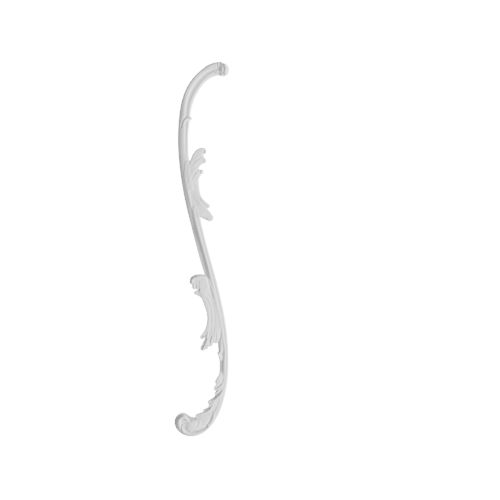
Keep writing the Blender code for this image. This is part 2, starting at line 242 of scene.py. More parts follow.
# Lobes, each along its middle from its root to its tip, from the top of a spray downwards
UPPER_LOBES = (
    ((-21, 104.5, 8), (-19.5, 123.5, 10.5), (-14, 141.5, 11), (-7, 153, 12), (-0.5, 156.6, 11),
     (5.6, 155.4, 9.5)),
    ((-21, 94.5, 6.5), (-17, 118.5, 9.5), (-10.5, 133, 11), (-2.5, 140.5, 10), (5.6, 141, 7.5)),
    ((-18, 85, 6.5), (-15, 104.5, 9), (-9.5, 117, 10.5), (-4.5, 122.5, 8), (1.6, 124.3, 7)),
    ((-15.5, 104.5, 6.5), (-10.5, 87, 10.5), (-2, 75.5, 11), (5, 70.3, 9), (11, 67.3, 7)),
    ((-16.5, 94.5, 8), (-10.5, 74, 13.5), (-1, 60.2, 18), (8.2, 52.8, 15), (14.8, 47.4, 8.5)),
)
LOWER_LOBES = (
    ((17.5, -62.5, 8), (10, -51.5, 11), (0.5, -46.2, 11.5), (-8.5, -45.8, 11), (-15, -48.5, 10.5),
     (-16.8, -56.5, 8)),
    ((18, -85, 6.5), (11.5, -66, 9.5), (3, -56.5, 10.5), (-6, -54.5, 11), (-11.6, -57.3, 10),
     (-13, -64, 7)),
    ((11.5, -75.5, 6.5), (4.5, -64, 7), (-2.5, -60.5, 6.5), (-6.5, -62, 6), (-8, -65.5, 4.5)),
    ((16.5, -104.5, 6.5), (11.5, -88, 8.5), (4, -77.5, 9.5), (-4.5, -71.5, 8.5), (-13.5, -69.5, 6)),
    ((13.5, -98, 6.5), (11.5, -117, 8.5), (6.5, -132, 8.5), (-3, -143, 6.5)),
    ((17.5, -110.5, 6.5), (14, -133, 10.5), (6.5, -149, 11), (-1.5, -161.5, 8)),
    ((14, -136.5, 6.5), (9, -149, 8), (5, -160, 6)),
    ((20.5, -110.5, 6.5), (18, -133, 9), (14.5, -145, 9.5), (11.5, -155.5, 7.5)),
    ((24, -110.5, 6.5), (23.5, -131, 9.5), (22, -142, 9.5), (20.5, -150.5, 6.5)),
)
TAIL_LOBES = (
    ((33.5, -191, 6.5), (30, -202, 8), (25, -209.5, 7.5), (21.2, -214.5, 5.5)),
    ((34, -203.5, 6.5), (31, -212.5, 9.5), (26, -219, 9.5), (18.8, -224.5, 6.5)),
    ((35, -219.5, 6.5), (29, -227, 8), (19.8, -232.5, 6)),
    ((34, -228, 6.5), (27, -236.5, 10.5), (19.5, -241, 8.5), (8.8, -246.5, 6.5)),
    ((29.5, -239, 6.5), (20.5, -247.5, 8.5), (9.8, -252, 6)),
    ((26, -245.5, 6.5), (16.5, -253.5, 10.5), (9.5, -257.5, 8.5), (0.5, -260.5, 6.5)),
    ((16.5, -256.5, 8), (6, -264.5, 11), (-3, -267.5, 10.5), (-11.5, -269, 7.5)),
)
# Small husks where a leaf tip leaves the moulding, on the upper scroll and on the lower one
HUSKS = (
    ((-32, 186, 4), (-31, 197.5, 5), (-27, 205.5, 6), (-17, 209.5, 4.5)),
    ((30, -181.5, 5), (29, -174, 6.5), (27.5, -169.5, 6), (24, -165.5, 4)),
)
# Rolls of the curl that ends the upper scroll, from its neck outwards, each with its height's share
CURL_ROLLS = (
    (0.8, ((22.5, 297.5, 5), (26, 290.5, 5.5), (25, 283.5, 5))),
    (0.85, ((30, 298.5, 5), (33, 290.5, 5), (32, 282, 5))),
    (1, ((34.5, 296, 6), (37.5, 287, 8), (35, 279, 6.5))),
)
# Fill between the lower spray's hooked lobe and its next lobes
HOOK_FILL = ((5, -72, 10), (-1, -68.5, 9), (-5, -66.5, 7))

# Creases cut into the forms. Each is the slope in its middle and its rows (x, z, breadth); the
# ground is higher on the right of the way that the rows run. First the curl and its neck.
CURL_CREASES = (
    (0.8, ((-4.5, 272.5, 3), (5.5, 278.5, 8), (13.5, 282, 9), (19.5, 284.5, 3))),
    (0.35, ((6, 291, 3), (13, 294, 7), (20, 296, 5))),
    (1.5, ((29.5, 277, 5), (29, 287, 10), (27.5, 297, 4))),
)
# Creases of the upper scroll and spray
UPPER_CREASES = (
    (1.6, ((-34.5, 192.5, 2), (-32, 200.5, 5), (-28.5, 207, 6.5), (-24, 211, 6.5), (-19, 211.5, 3))),
    (0.25, ((-12.5, 142, 2), (-9, 148.5, 5), (-6, 154, 4.5), (-2.5, 157, 2))),
    (0.35, ((-18, 130, 2), (-11.5, 138.5, 6), (-5, 143.5, 5.5), (-0.5, 144.5, 2))),
    (0.35, ((-15, 112.5, 2), (-10.5, 119.5, 6.5), (-6, 125, 6), (-2, 127, 2))),
    (0.9, ((3, 151, 3), (3.6, 155, 6), (4, 159, 4))),
    (0.4, ((1, 137.5, 3), (2, 141, 6), (2.5, 144.5, 3))),
    (0.8, ((-3.5, 120.5, 3), (-2.5, 124, 6), (-2, 126.5, 3))),
    (0.6, ((9, 67.5, 4), (3, 72, 6), (-2, 78, 5), (-4.5, 85, 2))),
    (0.35, ((10, 60, 3), (3, 61.5, 6), (-4.5, 63.5, 6), (-10, 66.5, 2))),
)
# Creases of the lower spray
LOWER_CREASES = (
    (0.4, ((-15.5, -51, 2), (-10, -49, 4.5), (-2, -48.5, 4.5), (8.5, -50, 2))),
    (0.9, ((-13.5, -63, 3), (-14.5, -60, 4.5), (-14.5, -55.5, 2))),
    (0.95, ((-8.5, -63.5, 3), (-9, -59.5, 5), (-9.5, -54, 2))),
    (0.7, ((-4.5, -65, 3), (-5, -62, 4), (-5, -58.5, 2))),
    (0.6, ((-4, -71, 2.5), (-5, -68.5, 4.5), (-5.5, -66, 3))),
    (0.25, ((-5, -73, 2), (3.5, -79.5, 6), (10, -91.5, 7), (12.5, -107.5, 7), (11.5, -123.5, 6),
        (9.5, -134.5, 2))),
    (0.2, ((0.5, -62.5, 2), (10, -77, 6), (16, -94.5, 7), (18, -114, 7), (16.5, -133, 5))),
    (1.3, ((-1.5, -156, 3), (0.5, -151, 6.5), (3.5, -146, 7.5), (6.5, -140, 6), (8.5, -131.5, 2))),
    (1.3, ((-2, -145.5, 3), (-1, -142.5, 5), (0.5, -138, 2))),
    (1.5, ((-1.5, -162, 3), (0, -159, 6), (2, -153.5, 2))),
    (0.75, ((10, -155.5, 3), (12, -149, 6.5), (15, -142, 6), (17, -134, 2))),
    (0.5, ((5, -160.5, 2), (6.5, -156, 4.5), (9, -151.5, 2))),
    (0.55, ((21.5, -151.5, 3), (22, -146, 5), (22.5, -138, 4.5), (23, -128.5, 2))),
)
# Creases of the tail leaf and of the volute
TAIL_CREASES = (
    (1.1, ((21, -216.5, 2), (22.5, -213, 4.5), (24, -209, 2))),
    (1.1, ((19, -226, 2), (20, -223.5, 4.5), (22, -219.5, 2))),
    (0.5, ((19.5, -225.5, 2), (24, -221, 7), (29.5, -216.5, 7), (33.5, -209.5, 2))),
    (0.45, ((23, -232, 2), (27.5, -227, 4), (32, -219.5, 2))),
    (1.5, ((13, -243, 3), (20, -239, 7), (26, -233.5, 7.5), (30.5, -228, 5), (34, -221.5, 2))),
    (0.5, ((9, -248, 3), (14.5, -245, 6), (21.5, -242.5, 5), (27.5, -239, 2))),
    (1.5, ((0, -262, 3), (5.5, -259, 6.5), (11.5, -254.5, 6.5), (16.5, -249, 2))),
    (0.4, ((1.5, -265, 2), (10, -263, 6), (17.5, -260, 6), (23.5, -252.5, 2))),
    (0.4, ((-11.5, -273, 2), (-9.5, -269.5, 5), (-4.5, -266.5, 5), (3.5, -264, 2))),
    (0.7, ((5.5, -284, 2), (12, -276.5, 10), (16, -267, 10), (18, -256.5, 2))),
    (2.2, ((-26, -290, 2), (-19.5, -291.5, 6), (-12.5, -292.5, 8), (-4.5, -290.5, 7.5),
        (2.5, -286.5, 6), (10, -279, 2))),
    (0.55, ((-12.5, -279.5, 2), (-6, -279.5, 4.5), (0.5, -281.5, 4.5), (8, -284, 2))),
    (0.8, ((-30.5, -292, 2), (-33, -286, 5), (-32.5, -281, 5), (-29.5, -278.5, 4), (-23.5, -277.5, 2))),
    (0.6, ((-31.5, -277.5, 2), (-31, -274.5, 3.5), (-30, -270.5, 2))),
    (0.6, ((-27, -277, 2), (-26.5, -274, 3.5), (-26.5, -270, 2))),
    (0.45, ((-15, -288, 2), (-8.5, -284, 7), (-6, -276.5, 7), (-5, -271, 2))),
    (1.6, ((-16.5, -276, 2), (-19.5, -272.5, 6), (-23, -268.5, 2))),
)
# Deep grooves between the forms, each as its depth and its rows: of the curl, the upper husk, the
# sprays, the strip, the tail leaf, the volute and the lower bead
GROOVES = (
    (7, ((25, 282, 4), (30, 279.5, 7), (35.5, 277, 6))),
    (3, ((28.5, 297, 4), (29, 287.5, 7.5), (28, 280.5, 6))),
    (3, ((23.4, 298, 3), (24, 288.5, 4.5))),
    (2.2, ((-33.5, 194, 2.5), (-31, 202, 5), (-26.5, 208, 6), (-21, 211, 4))),
    (2, ((-3.5, 50.5, 3), (2, 49.5, 4), (7.5, 47.3, 3))),
    (3.5, ((1, -155.5, 4), (3, -149, 5.5), (6, -143.5, 5))),
    (2.5, ((-2.5, -143, 3), (-0.8, -141.5, 4.5), (1.2, -139.5, 2.5))),
    (3, ((-1.5, -160.5, 3), (-0.4, -158.5, 5), (1, -155, 3))),
    (2, ((12, -152, 3), (12.2, -146, 5), (13.5, -140, 3))),
    (3.5, ((24.3, -152, 3), (24.3, -158.5, 5), (25, -165, 4))),
    (2, ((29.5, -216.5, 3), (25, -220, 4.5), (20.5, -223, 3))),
    (2.5, ((31, -227, 3), (23, -233.5, 6), (15, -241.5, 4))),
    (3, ((12.5, -254, 3), (7, -257.5, 5.5), (2, -260.5, 4))),
    (4.5, ((-27, -291, 3), (-17, -292.3, 6), (-7.5, -292, 6.5), (0.5, -288.7, 5.5), (8.5, -283, 3))),
    (4, ((-25, -268.5, 3), (-20.5, -271.5, 5), (-16.5, -273, 3))),
    (1.5, ((8.2, -46, 3), (10.5, -57, 5.5), (13.5, -68, 5.5), (16.5, -78, 3))),
    (8, ((-43.8, -282, 4), (-42, -272, 8.5), (-36, -265, 9.5), (-29, -263.5, 8), (-22.5, -267.5, 5))),
    (1.5, ((-33.5, -290, 2.5), (-34, -283.5, 4), (-32, -279, 4), (-24, -278, 2.5))),
)


def smooth_rows(rows):
    """The rows of the natural cubic spline through a few rows, at a fine even spacing."""
    rows = np.array(rows, float)
    chord = np.concatenate([[0.0], np.cumsum(np.hypot(*np.diff(rows[:, :2], axis=0).T))])
    gap = np.diff(chord)
    count = len(rows)
    matrix = np.eye(count)
    bend = np.zeros_like(rows)
    for i in range(1, count - 1):
        matrix[i, i - 1:i + 2] = gap[i - 1], 2 * (gap[i - 1] + gap[i]), gap[i]
        bend[i] = 6 * ((rows[i + 1] - rows[i]) / gap[i] - (rows[i] - rows[i - 1]) / gap[i - 1])
    bend = np.linalg.solve(matrix, bend)
    at = np.append(np.arange(0.0, chord[-1], TRACE), chord[-1])
    i = np.clip(np.searchsorted(chord, at, side="right") - 1, 0, count - 2)
    left = (chord[i + 1] - at)[:, None]
    right = (at - chord[i])[:, None]
    width = gap[i][:, None]
    return (
        (bend[i] * left**3 + bend[i + 1] * right**3) / (6 * width)
        + (rows[i] / width - bend[i] * width / 6) * left
        + (rows[i + 1] / width - bend[i + 1] * width / 6) * right
    )


def trimmed(line, ends):
    """The line without the stretch that a round end covers: half the strand's width there."""
    along = np.concatenate([[0.0], np.cumsum(np.hypot(*np.diff(line[:, :2], axis=0).T))])
    low = line[0, 2] / 2 if ends[0] else 0.0
    high = along[-1] - (line[-1, 2] / 2 if ends[1] else 0.0)
    at = np.linspace(low, high, max(3, int((high - low) / TRACE)))
    return np.stack([np.interp(at, along, column) for column in line.T], axis=1)


def nearest(line, x, z, reach):
    """For each place the index of the nearest point of the line, and -1 beyond its reach."""
    index = np.full(x.shape, -1)
    best = np.full(x.shape, reach**2)
    for start in range(0, len(line), BLOCK):
        part = line[start:start + BLOCK]
        low = part[:, :2].min(axis=0) - reach
        high = part[:, :2].max(axis=0) + reach
        near = np.flatnonzero((x > low[0]) & (x < high[0]) & (z > low[1]) & (z < high[1]))
        if len(near) == 0:
            continue
        away = (x[near, None] - part[:, 0]) ** 2 + (z[near, None] - part[:, 1]) ** 2
        closest = away.argmin(axis=1)
        distance = away[np.arange(len(near)), closest]
        better = distance < best[near]
        index[near[better]] = start + closest[better]
        best[near[better]] = distance[better]
    return index


def from_the_line(line, index, x, z):
    """Where places lie seen from their nearest point of the line: to its right, and beyond it."""
    slope = np.gradient(line[:, :2], axis=0)
    slope /= np.hypot(slope[:, 0], slope[:, 1])[:, None]
    away_x = x - line[index, 0]
    away_z = z - line[index, 1]
    right = away_x * slope[index, 1] - away_z * slope[index, 0]
    beyond = away_x * slope[index, 0] + away_z * slope[index, 1]
    return right, beyond


def strand(rows, depth, profiles, x, z, hang=0, ends=(False, False), swell=(1, 1)):
    """A strand's height and its distance inside its edge, at every place.

    A place is measured from the nearest point of the line: across, from -1 to 1 between the two
    edges, and along. The height is the profile of across times the depth there. The profile passes
    evenly through the given ones along the strand, and the depth is multiplied in the same way by
    the shares in swell. Beyond the edge the height falls away steeply. Round ends carry the profile
    round the tip. hang is 0 where the line is the strand's middle, 1 where it is its right edge and
    -1 where it is its left edge.
    """
    line = trimmed(smooth_rows(rows), ends)
    reach = (1.0 if hang else 0.5) * line[:, 2].max() + MELT_SHEET
    index = nearest(line, x, z, reach)
    height = np.full(x.shape, FAR_BELOW)
    inside = np.full(x.shape, FAR_BELOW)
    here = np.flatnonzero(index >= 0)
    i = index[here]
    right, beyond = from_the_line(line, i, x[here], z[here])
    half = line[i, 2] / 2
    side = right + hang * half
    first = i == 0
    last = i == len(line) - 1
    over = np.where(first, np.maximum(-beyond, 0), 0) + np.where(last, np.maximum(beyond, 0), 0)
    round_here = (first & ends[0]) | (last & ends[1])
    radial = np.where(round_here, np.hypot(side, over), np.abs(side))
    edge = half - radial
    edge = np.where(round_here, edge, np.minimum(edge, np.where(over > 0, -over, edge)))
    across = np.clip(radial / half, 0, 1) * np.where(side < 0, -1, 1)
    share = i / (len(line) - 1)
    tall = depth * np.interp(share, np.linspace(0, 1, len(swell)), swell)
    shape = 0
    for k, profile in enumerate(profiles):
        weight = np.maximum(0, 1 - np.abs(share * (len(profiles) - 1) - k))
        shape = shape + weight * profile(across)
    height[here] = tall * shape + SIDE * np.minimum(edge, 0)
    inside[here] = edge
    return height, inside


def melt(first, second, breadth):
    """The larger of two heights, raised where they are nearly equal: by a quarter of the breadth
    times the square of how near they are."""
    near = np.maximum(breadth - np.abs(first - second), 0) / breadth
    return np.maximum(first, second) + near**2 * breadth / 4


def crease(rows, steep, deep, x, z):
    """A crease's change of height: steep times the distance to the right of its line, less deep.

    The change fades as the square of one less the squared distance from the line, which is
    counted as a share of half the breadth.
    """
    line = smooth_rows(rows)
    index = nearest(line, x, z, line[:, 2].max() / 2)
    here = np.flatnonzero(index >= 0)
    i = index[here]
    right, beyond = from_the_line(line, i, x[here], z[here])
    half = line[i, 2] / 2
    away = np.minimum(1, np.hypot(right, beyond) / half)
    change = np.zeros(x.shape)
    change[here] = (steep * right - deep) * (1 - away**2) ** 2
    return change


def unevenness(x, z):
    """The faint waviness of a hand-finished casting: products of slanted sine waves."""
    change = np.zeros(x.shape)
    for length, turn, height in WAVES:
        along = x * np.cos(turn) + z * np.sin(turn)
        across = z * np.cos(turn) - x * np.sin(turn)
        change += height * np.sin(along / length) * np.cos(across / (length * WAVE_RATIO) + turn)
    return change


def dome(across, left, right):
    """A rounded moulding: 0 at its edges and 1 at its crest. It is one less across to a power, to
    one over that power; left and right are the powers of its two shoulders, and 2 is a circle."""
    fullness = np.where(across < 0, left, right)
    return (1 - np.abs(across) ** fullness) ** (1 / fullness)


def section(knots, left=SHOULDER, right=SHOULDER, foot=FOOT):
    """A profile: an upright foot, and above it a dome times a softened line through a few
    (across, height) knots."""
    places, heights = np.array(knots, float).T
    even = np.linspace(-1, 1, SECTION_POINTS)
    blend = np.hanning(SOFT_POINTS)
    line = np.pad(np.interp(even, places, heights), SOFT_POINTS // 2, mode="edge")
    line = np.convolve(line, blend / blend.sum(), mode="valid")

    def profile(across):
        return foot + (1 - foot) * dome(across, left, right) * np.interp(across, even, line)

    return profile


def mouldings():
    """Strands of both scrolls' mouldings, of the strip beside the lower one and of its ridge."""
    arc = section(((-1, 0.97), (-0.25, 1), (0.4, 0.98), (1, 0.92)), 4.0, 2.6, 0.4)
    stem = section(((-1, 0.98), (-0.3, 0.9), (0.3, 0.7), (1, 0.38)), 6.0, 2.0, STEM_FOOT)
    falling = section(((-1, 1), (1, 0.2)), 8.0, 12.0, STEM_FOOT)
    leaning = section(((-1, 1), (1, 0.65)), 8.0, 12.0, STEM_FOOT)
    hollow = section(
        ((-1, 0.97), (-0.65, 1), (-0.2, 0.88), (0.25, 0.78), (0.5, 0.76), (1, 0.8)), 3.0, 4.0)
    deep_hollow = section(
        ((-1, 0.97), (-0.65, 1), (-0.15, 0.83), (0.35, 0.66), (0.6, 0.65), (1, 0.72)), 3.0, 4.0)
    flat_web = section(((-1, 0.97), (0, 1), (1, 1)), 4.0, 8.0, SHEET_FOOT)
    grooved = section(
        ((-1, 1), (-0.7, 0.99), (-0.4, 0.91), (0.05, 1), (0.5, 0.97), (1, 0.85)), 5.0, 2.0)
    tail = section(((-1, 1), (0.5, 0.98), (1, 0.95)), 4.0, 3.2)
    volute = section(((-1, 0.6), (-0.6, 0.82), (0.2, 1), (1, 1)), 1.6, 4.0, 0.12)
    strip = section(((-1, 1), (1, 0.6)), 5.0, 14.0, SHEET_FOOT)
    ridge = section(((-1, 1), (1, 1)), 3.0, 1.6)
    return [
        dict(rows=UPPER_BEAD, depth=BEAD, hang=1,
             profiles=(arc, arc, arc, stem, stem, stem, stem, stem, falling, leaning, leaning),
             swell=(1.15, 1.02, 1, 1, 1, 1, 1, 0.97, 0.76, 0.74, 0.74)),
        dict(rows=UPPER_WEB, depth=WEB, hang=-1,
             profiles=(deep_hollow, deep_hollow, hollow, flat_web, flat_web),
             swell=(0.9, 0.9, 0.93, 1, 1)),
        dict(rows=LOWER_STRIP, depth=STRIP, profiles=(strip,), hang=1),
        dict(rows=LOWER_BEAD, depth=BEAD, hang=-1, ends=(True, True),
             profiles=(grooved, grooved, grooved, grooved, grooved, tail, tail, volute, volute),
             swell=(1.04, 1, 1, 1, 1, 1, 1.05, 1.22, 1.28)),
        dict(rows=STRIP_RIDGE, depth=RIDGE, profiles=(ridge,), ends=(False, True)),
    ]


def sheets():
    """Strands of the sheets and beds that carry the lobes and rolls."""
    plain = section(((-1, 0.96), (1, 1)), 6.0, 6.0, SHEET_FOOT)
    falling = section(((-1, 1), (0, 0.93), (1, 0.78)), 4.0, 4.0, SHEET_FOOT)
    dished = section(((-1, 0.93), (-0.3, 0.88), (0.5, 0.94), (0.85, 1), (1, 1)), 4.0, 6.0, SHEET_FOOT)
    sloping = section(((-1, 1), (0, 0.97), (0.6, 0.9), (1, 0.8)), 4.0, 4.0, SHEET_FOOT)
    rounded = section(((-1, 1), (1, 1)))
    return [
        dict(rows=UPPER_LEAF, depth=LEAF, profiles=(plain,)),
        dict(rows=LOWER_LEAF, depth=LOWER_SHEET, profiles=(dished,)),
        dict(rows=UPPER_FAN, depth=FAN, profiles=(falling,), ends=(False, True)),
        dict(rows=LOWER_FAN, depth=FAN, profiles=(falling,), ends=(False, True)),
        dict(rows=HOOK_FAN, depth=HOOK, profiles=(plain,), ends=(False, True)),
        dict(rows=HOOK_FILL, depth=HOOK, profiles=(plain,), ends=(False, True)),
        dict(rows=TAIL_LEAF, depth=TAIL, profiles=(sloping,), ends=(False, True),
             swell=(0.9, 1, 1, 1.02, 1.12, EYE / TAIL)),
        dict(rows=VOLUTE_BED, depth=BED, profiles=(rounded,), ends=(True, True)),
        dict(rows=CURL_FLOOR, depth=CURL_BED, profiles=(rounded,), ends=(False, True),
             swell=(0.72, 0.82, 0.75, 0.78, 0.97)),
    ]


def lobes():
    """Strands of every leaf lobe, barb, husk and roll.

    A lobe has a broad rounded side turned to the leaf's edge, where its crest is, and falls gently
    to the other side.
    """
    crest_left = section(((-1, 0.97), (-0.4, 1), (0.3, 0.88), (1, 0.80)), 3.0, 5.0, LOBE_FOOT)
    crest_right = section(((-1, 0.80), (-0.3, 0.88), (0.4, 1), (1, 0.97)), 5.0, 5.0, LOBE_FOOT)
    level = section(((-1, 1), (1, 1)), 4.0, 4.0, LOBE_FOOT)
    hooked = section(((-1, 0.8), (0, 1), (1, 0.95)), 4.0, 1.7)
    husk = section(((-1, 0.97), (-0.4, 1), (0.3, 0.88), (1, 0.80)), 2.3, 4.0)
    rounded = section(((-1, 1), (1, 1)), 2.3, 2.3)
    swell = (0.6, 0.85, 1, 1.05, 1)
    kinds = (
        (UPPER_LOBES[:3], LOBE, crest_left),
        (UPPER_LOBES[3:], LOBE, level),
        (LOWER_LOBES[:1], HOOK_LOBE, hooked),
        (LOWER_LOBES[1:], LOBE, crest_right),
        (TAIL_LOBES, BARB, crest_right),
        (HUSKS, HUSK, husk),
    )
    strands = [
        dict(rows=rows, depth=depth, profiles=(profile,), ends=(False, True), swell=swell)
        for family, depth, profile in kinds
        for rows in family
    ]
    for share, rows in CURL_ROLLS:
        strands.append(dict(rows=rows, depth=share * CURL, profiles=(rounded,), ends=(True, True)))
    return strands


def relief(x, z):
    """The casting's height over the wall, and the distance inside its outline, at every place."""
    height = np.full(x.shape, FAR_BELOW)
    inside = np.full(x.shape, FAR_BELOW)
    for family, breadth in ((mouldings(), MELT), (sheets(), MELT_SHEET), (lobes(), MELT_LOBE)):
        for one in family:
            rise, edge = strand(x=x, z=z, **one)
            height = melt(height, rise, breadth)
            inside = melt(inside, edge, MELT_EDGE)
    for steep, rows in CURL_CREASES + UPPER_CREASES + LOWER_CREASES + TAIL_CREASES:
        height += crease(rows, steep, 0, x, z)
    for deep, rows in GROOVES:
        height += crease(rows, 0, deep, x, z)
    height += unevenness(x, z)
    return np.clip(height, LEAST, MOST), inside


def kept_cells(inside):
    """Grid cells whose middle is inside; cells that touch only at a corner are joined."""
    middle = (inside[:-1, :-1] + inside[1:, :-1] + inside[:-1, 1:] + inside[1:, 1:]) / 4
    keep = middle > 0
    for _ in range(JOIN_STEPS):
        falling = keep[:-1, :-1] & keep[1:, 1:] & ~keep[1:, :-1] & ~keep[:-1, 1:]
        rising = keep[1:, :-1] & keep[:-1, 1:] & ~keep[:-1, :-1] & ~keep[1:, 1:]
        keep[1:, :-1] |= falling
        keep[:-1, :-1] |= rising
    return keep


def bilinear(field, x, z):
    """The field's value between grid places, x and z counted in cells."""
    i = np.clip(x.astype(int), 0, field.shape[0] - 2)
    j = np.clip(z.astype(int), 0, field.shape[1] - 2)
    u, v = x - i, z - j
    low = field[i, j] * (1 - u) + field[i + 1, j] * u
    high = field[i, j + 1] * (1 - u) + field[i + 1, j + 1] * u
    return low * (1 - v) + high * v


def snapped(inside, border):
    """How far each grid place moves, so that those on the border lie on the outline.

    A border place steps down the slope of the inside distance to where it is zero. The shift
    fades out over the next few places inwards, so that the cells stay even.
    """
    slope_x, slope_z = np.gradient(inside)
    i, j = np.nonzero(border)
    x, z = i.astype(float), j.astype(float)
    for _ in range(SNAP_STEPS):
        value = bilinear(inside, x, z)
        gx, gz = bilinear(slope_x, x, z), bilinear(slope_z, x, z)
        step = value / np.maximum(gx**2 + gz**2, LEAST_SLOPE)
        x = np.clip(x - gx * step, i - MOST_SHIFT, i + MOST_SHIFT)
        z = np.clip(z - gz * step, j - MOST_SHIFT, j + MOST_SHIFT)
    shift = np.zeros(inside.shape + (2,))
    shift[i, j, 0] = x - i
    shift[i, j, 1] = z - j
    fixed = shift.copy()
    for _ in range(FADE_STEPS):
        shift = np.where(border[..., None], fixed, neighbours(shift))
    return shift


def neighbours(field):
    """The mean of the four neighbours of every grid place."""
    padded = np.pad(field, ((1, 1), (1, 1)) + ((0, 0),) * (field.ndim - 2))
    return (padded[:-2, 1:-1] + padded[2:, 1:-1] + padded[1:-1, :-2] + padded[1:-1, 2:]) / 4


def hollows(height, used):
    """How far each place lies below its surroundings: the height blurred, less the height."""
    weight = used.astype(float)
    total = np.where(used, height, 0.0)
    for _ in range(BLUR_STEPS):
        total = (total + neighbours(total)) / 2
        weight = (weight + neighbours(weight)) / 2
    return np.where(used, total / np.maximum(weight, LEAST_SHARE) - height, 0.0)


def outline_grid():
    """A grid over the drawing whose border places are moved onto the outline.

    Gives x and z of every place, which cells are kept, which places the kept cells use, and which
    of these are on the border: those with fewer than four kept cells round them.
    """
    low = np.array([cad_box[0].x, cad_box[0].z]) * MM - MARGIN
    high = np.array([cad_box[1].x, cad_box[1].z]) * MM + MARGIN
    across = np.arange(low[0], high[0], GRID)
    up = np.arange(low[1], high[1], GRID)
    grid_x, grid_z = np.meshgrid(across, up, indexing="ij")
    inside = relief(grid_x.ravel(), grid_z.ravel())[1].reshape(grid_x.shape)
    keep = kept_cells(inside)
    around = np.zeros(grid_x.shape, int)
    for a, b in ((0, 0), (1, 0), (0, 1), (1, 1)):
        around[a:a + keep.shape[0], b:b + keep.shape[1]] += keep
    used = around > 0
    border = used & (around < 4)
    shift = snapped(inside / GRID, border) * GRID
    return grid_x + shift[..., 0], grid_z + shift[..., 1], keep, used, border


def relief_mesh():
    """The closed mesh of the casting: the relief, an upright wall round its outline, a flat back.

    The front is the height over the wall at every used place of the grid.
    """
    x, z, keep, used, border = outline_grid()
    height = np.zeros(x.shape)
    height[used] = relief(x[used], z[used])[0]
    height = evened(height, border)
    number = np.full(x.shape, -1)
    number[used] = np.arange(used.sum())
    i, j = np.nonzero(keep)
    faces = np.stack([number[i, j], number[i + 1, j], number[i + 1, j + 1], number[i, j + 1]], axis=1)
    edge_number = np.full(x.shape, -1)
    edge_number[border] = used.sum() + np.arange(border.sum())
    front = np.stack([x[used], -height[used], z[used]], axis=1)
    back = np.stack([x[border], np.zeros(border.sum()), z[border]], axis=1)
    mesh = bpy.data.meshes.new("scroll_casting")
    quads = np.concatenate([faces, wall_faces(keep, number, edge_number)])
    mesh.from_pydata(np.concatenate([front, back]) / MM, [], quads.tolist())
    mesh.shade_smooth()
    close_back(mesh)
    no_back = np.zeros(border.sum())
    # The hollows' depth, from which the material paints dust and shade into the recesses
    keep_values(mesh, "hollow", np.concatenate([hollows(height, used)[used], no_back]))
    keep_values(mesh, "backing", np.concatenate([np.zeros(used.sum()), no_back + 1]))
    return mesh


def evened(height, border):
    """The heights, with those along the border made even: each is the mean of the border places
    round it, over and over."""
    for _ in range(EVEN_STEPS):
        total = np.pad(np.where(border, height, 0.0), 1)
        count = np.pad(border.astype(float), 1)
        around = [(a, b) for a in range(3) for b in range(3)]
        rows, columns = height.shape
        total = sum(total[a:a + rows, b:b + columns] for a, b in around)
        count = sum(count[a:a + rows, b:b + columns] for a, b in around)
        height = np.where(border, total / np.maximum(count, 1), height)
    return height


def keep_values(mesh, name, values):
    """One number for every vertex, kept in the mesh for the material to read."""
    mesh.attributes.new(name, "FLOAT", "POINT").data.foreach_set("value", values.astype(np.float32))


def wall_faces(keep, number, edge_number):
    """One upright face under each border edge of the kept cells."""
    padded = np.pad(keep, 1)
    core = padded[1:-1, 1:-1]
    sides = (
        (padded[1:-1, :-2], (0, 0), (1, 0)),
        (padded[2:, 1:-1], (1, 0), (1, 1)),
        (padded[1:-1, 2:], (1, 1), (0, 1)),
        (padded[:-2, 1:-1], (0, 1), (0, 0)),
    )
    walls = []
    for neighbour, start, end in sides:
        i, j = np.nonzero(core & ~neighbour)
        a = (i + start[0], j + start[1])
        b = (i + end[0], j + end[1])
        walls.append(np.stack([number[b], number[a], edge_number[a], edge_number[b]], axis=1))
    return np.concatenate(walls)


def close_back(mesh):
    """Fills the open edge at the wall plane with one flat face, cut into triangles.

    The edges where the upright wall meets the front and the back stay sharp in the shading.
    """
    faces = bmesh.new()
    faces.from_mesh(mesh)
    open_edges = [edge for edge in faces.edges if edge.is_boundary]
    filled = bmesh.ops.holes_fill(faces, edges=open_edges, sides=0)["faces"]
    bmesh.ops.triangulate(faces, faces=filled)
    bmesh.ops.recalc_face_normals(faces, faces=faces.faces)
    for edge in faces.edges:
        upright = [abs(face.normal.y) < UPRIGHT for face in edge.link_faces]
        edge.smooth = upright.count(True) != 1 and edge.calc_face_angle() < SHARP
    faces.to_mesh(mesh)
    faces.free()


def make_casting():
    """The casting's piece, in place of the plain solid."""
    piece = bpy.data.objects.new("scroll_casting", relief_mesh())
    bpy.context.scene.collection.objects.link(piece)
    piece.data.materials.append(plaster())
    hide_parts("scroll_onlay")
    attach(piece, "root")


